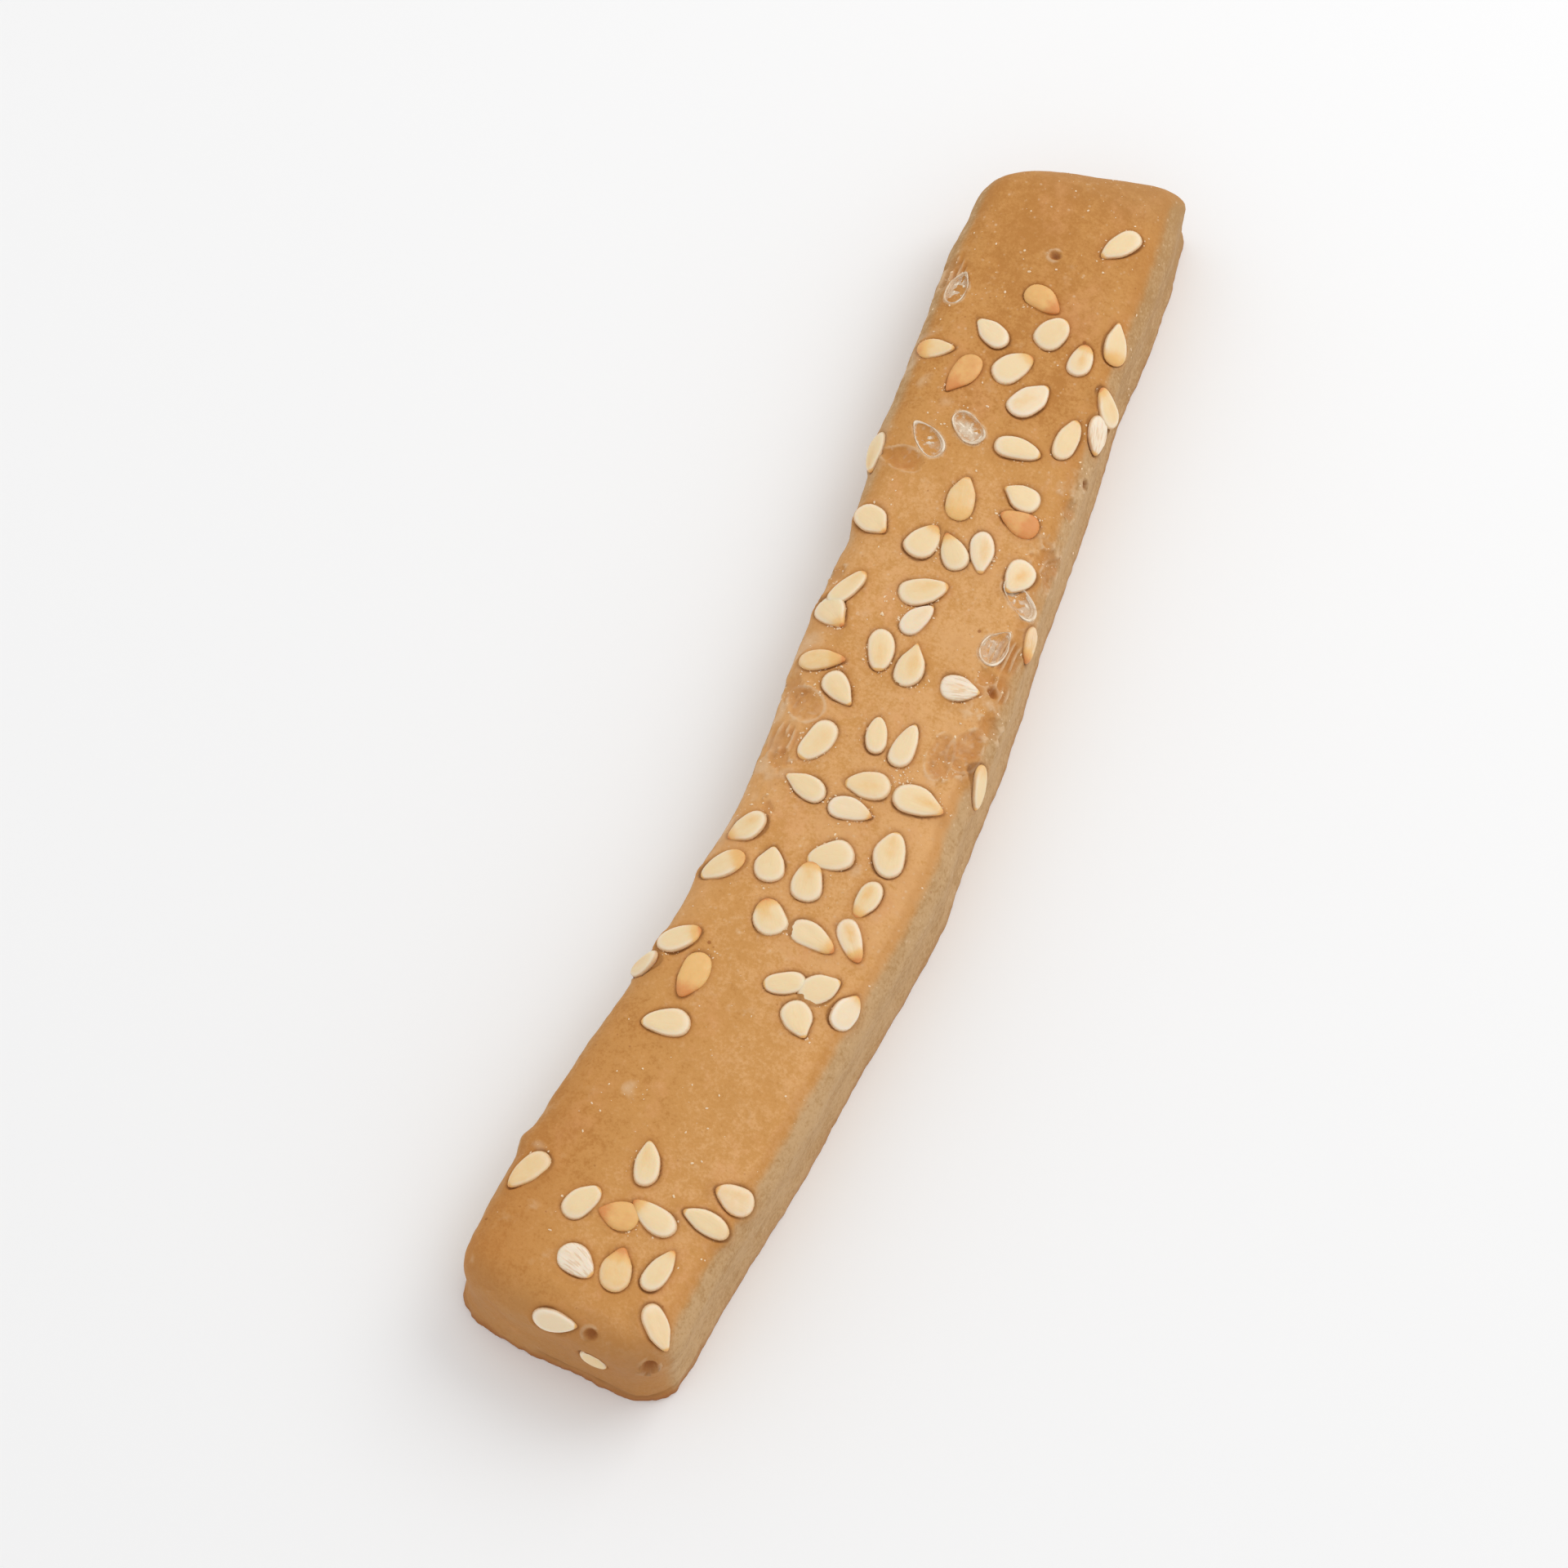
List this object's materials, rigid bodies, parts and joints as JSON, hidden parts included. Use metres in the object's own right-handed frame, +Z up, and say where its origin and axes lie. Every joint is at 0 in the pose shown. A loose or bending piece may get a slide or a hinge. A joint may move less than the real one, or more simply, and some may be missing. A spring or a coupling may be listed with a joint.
{
  "type": "sesame breadstick",
  "caption": "Short flat-bottomed baked breadstick, gently bent, with a domed golden crust strewn with sesame seeds.",
  "frame": {"origin": "under the middle of the stick's outline, on the flat face it rests on", "axes": "+Y along the stick, from the square near end to the slanted far end, +X to the right, +Z up out of the seeded top"},
  "size_m": [0.021, 0.1024, 0.0091],
  "materials": {
    "crust": "matte golden brown baked crust",
    "sesame": "satin ivory seed",
    "husk": "thin pale seed skin"
  },
  "bodies": {
    "root": {"breadstick": "crust"}
  },
  "joints": []
}
